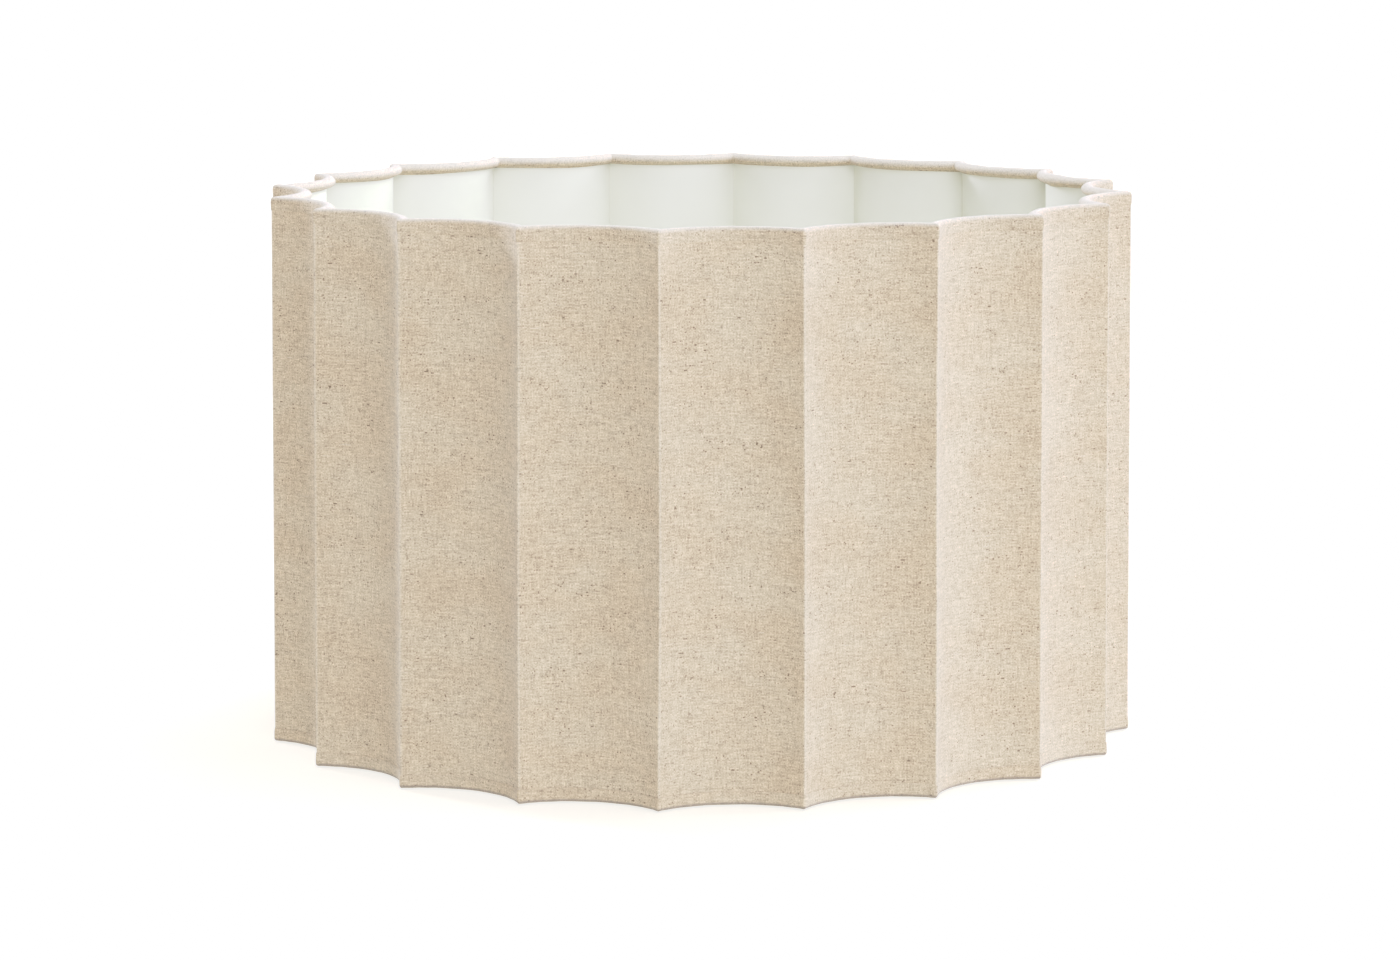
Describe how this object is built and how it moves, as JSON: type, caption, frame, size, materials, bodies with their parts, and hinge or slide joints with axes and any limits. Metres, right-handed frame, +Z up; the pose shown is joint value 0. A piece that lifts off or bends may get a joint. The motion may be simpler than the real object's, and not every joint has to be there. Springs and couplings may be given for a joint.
{
  "type": "lamp shade",
  "caption": "Drum lamp shade in natural linen, creased into sharp upright ridges with hollow flutes between them, on wire rings with a low ring fitter.",
  "frame": {"origin": "on the shade's axis, on the plane that the bottom folded edge stands on", "axes": "+Z up along the axis; the middle of a flute, and one fitter arm, faces -Y, and another faces +X"},
  "size_m": [0.397, 0.397, 0.254],
  "materials": {
    "linen": "matt slubby plain weave",
    "linen_strip": "matt slubby plain weave",
    "white_backing": "smooth, satin",
    "white_enamel": "satin enamel",
    "white_plastic": "satin moulded"
  },
  "bodies": {
    "shade": {"linen_cover": "linen", "backing_sheet": "white_backing", "top_wire_ring": "white_enamel", "bottom_wire_ring": "white_enamel", "top_folded_edge": "linen_strip", "bottom_folded_edge": "linen_strip", "fitter_arm_1": "white_enamel", "fitter_arm_2": "white_enamel", "fitter_arm_3": "white_enamel", "fitter_arm_4": "white_enamel", "fitter_ring": "white_enamel"},
    "reducer": {"reducer_ring": "white_plastic"}
  },
  "joints": [
    {"name": "reducer_lift", "type": "slide", "parent": "shade", "child": "reducer", "axis": [0, 0, 1], "range_m": [0, 0.03]}
  ]
}
